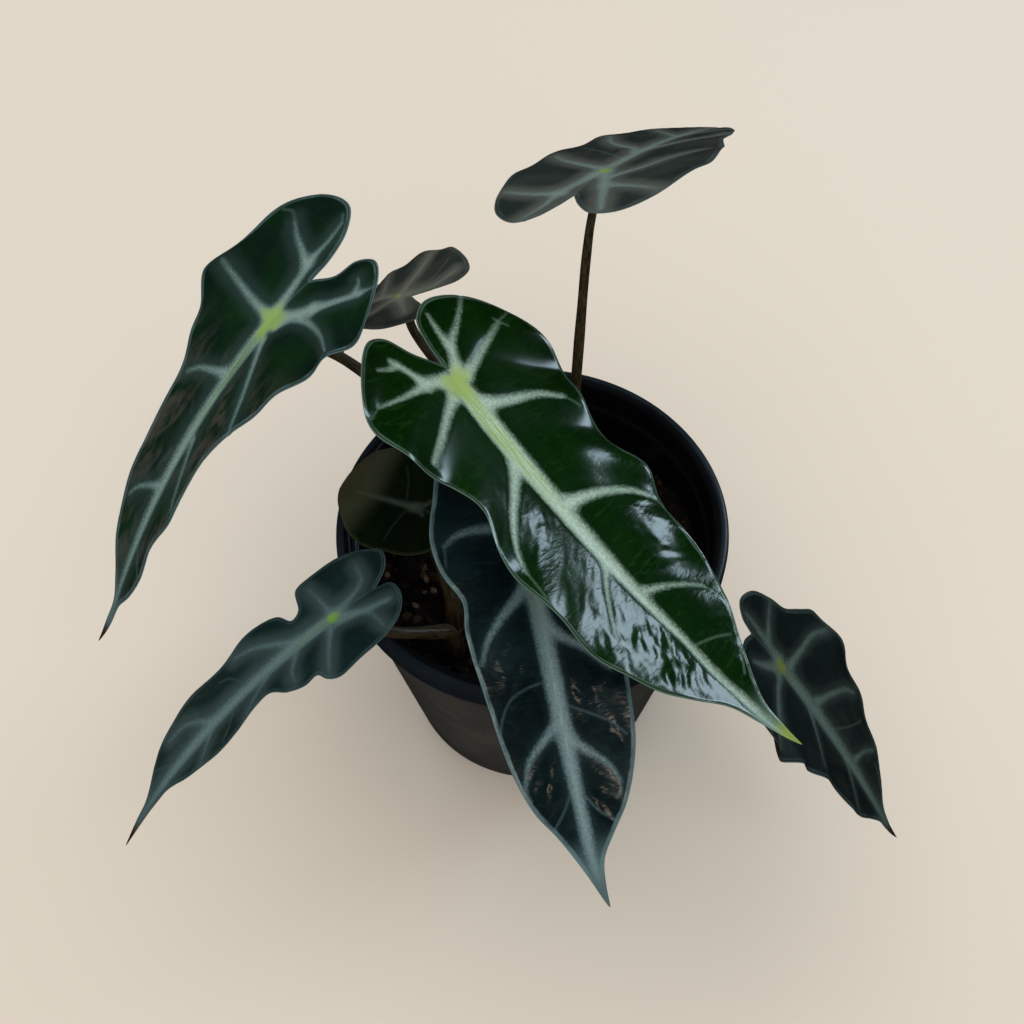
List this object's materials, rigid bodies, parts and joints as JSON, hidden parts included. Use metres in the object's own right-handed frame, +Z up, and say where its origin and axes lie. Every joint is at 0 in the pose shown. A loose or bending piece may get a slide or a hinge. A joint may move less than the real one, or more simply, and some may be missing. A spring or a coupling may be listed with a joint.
{
  "type": "potted bambino alocasia",
  "caption": "Small house plant with dark arrow-shaped leaves and pale veins on slim stalks, in a round tapered plastic pot of soil, which stands on its flat base.",
  "frame": {"origin": "middle of the pot's flat base, on the surface that the pot stands on", "axes": "+Z up along the pot's axis; -Y is the front, where the picture was taken from; +X to the right as seen from the front"},
  "size_m": [0.2349, 0.2178, 0.2253],
  "materials": {
    "pot": "satin",
    "soil": "matte",
    "rhizome": "matte",
    "petiole": "satin",
    "blade_glossy": "gloss",
    "blade_bluish": "satin",
    "blade_dusty": "satin"
  },
  "bodies": {
    "root": {"pot": "pot", "soil": "soil", "rhizome_main": "rhizome", "rhizome_front": "rhizome", "blade_front_large": "blade_glossy", "blade_upper_left": "blade_dusty", "blade_small_back": "blade_dusty", "blade_tall": "blade_dusty", "blade_lower_left": "blade_dusty", "blade_front_low": "blade_bluish", "blade_lower_right": "blade_dusty", "blade_inside_rim": "blade_glossy", "petiole_front_large": "petiole", "petiole_upper_left": "petiole", "petiole_small_back": "petiole", "petiole_tall": "petiole", "petiole_lower_left": "petiole", "petiole_front_low": "petiole", "petiole_lower_right": "petiole", "petiole_inside_rim": "petiole"}
  },
  "joints": []
}
